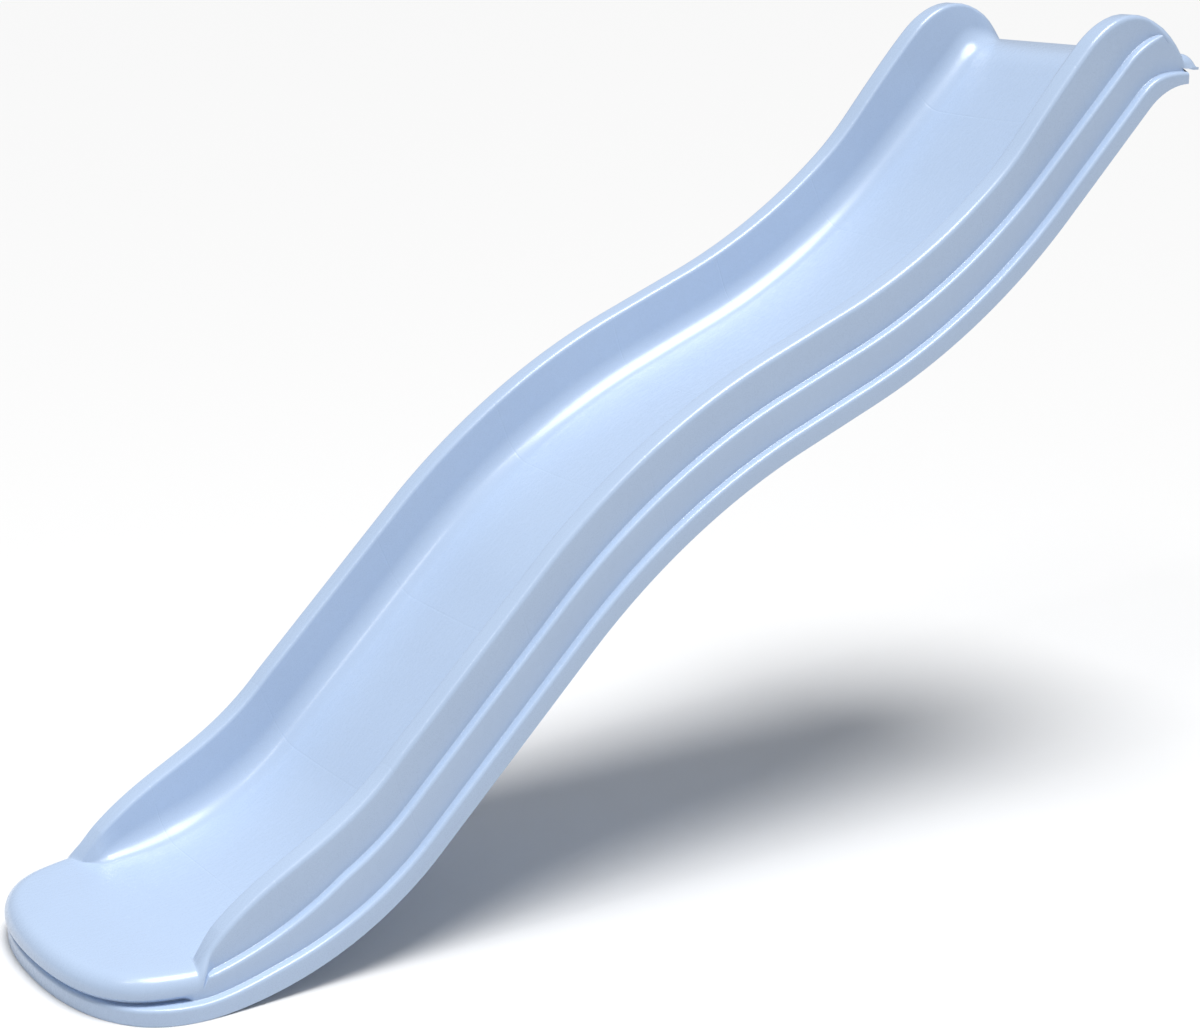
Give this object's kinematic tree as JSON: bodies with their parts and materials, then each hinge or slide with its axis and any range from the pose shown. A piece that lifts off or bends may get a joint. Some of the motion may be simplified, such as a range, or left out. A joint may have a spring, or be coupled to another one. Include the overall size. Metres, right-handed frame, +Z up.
{
  "type": "pool slide",
  "caption": "Wavy double-walled plastic slide with raised stepped sides, a broad rounded foot, a hooked top lip over the platform and a hose fitting that wets the bed.",
  "frame": {"origin": "on the ground, under the middle of the slide's bounding box", "axes": "+X across the slide, +Y from the foot towards the platform, +Z up"},
  "size_m": [0.51, 1.9782, 1.2576],
  "materials": {
    "blue_plastic": "glossy pastel blue polyethylene, lightly textured by its mould",
    "grey_plastic": "satin grey nylon",
    "white_plastic": "satin milky polyethylene",
    "seal_rubber": "matt black rubber",
    "insert_brass": "turned brass",
    "zinc_steel": "zinc-plated steel"
  },
  "bodies": {
    "root": {"slide_shell": "blue_plastic", "underside_skin": "blue_plastic", "spray_nozzle": "grey_plastic", "nozzle_seal": "seal_rubber", "nozzle_lock_nut": "grey_plastic", "supply_tube": "white_plastic", "inlet_bush": "grey_plastic", "inlet_seal": "seal_rubber", "inlet_lock_nut": "grey_plastic", "hose_nipple": "grey_plastic", "nipple_o_ring": "seal_rubber", "threaded_insert_left": "insert_brass", "platform_washer_left": "zinc_steel", "platform_screw_left": "zinc_steel", "threaded_insert_right": "insert_brass", "platform_washer_right": "zinc_steel", "platform_screw_right": "zinc_steel", "drain_plug": "grey_plastic", "moulding_plug": "grey_plastic"}
  },
  "joints": []
}
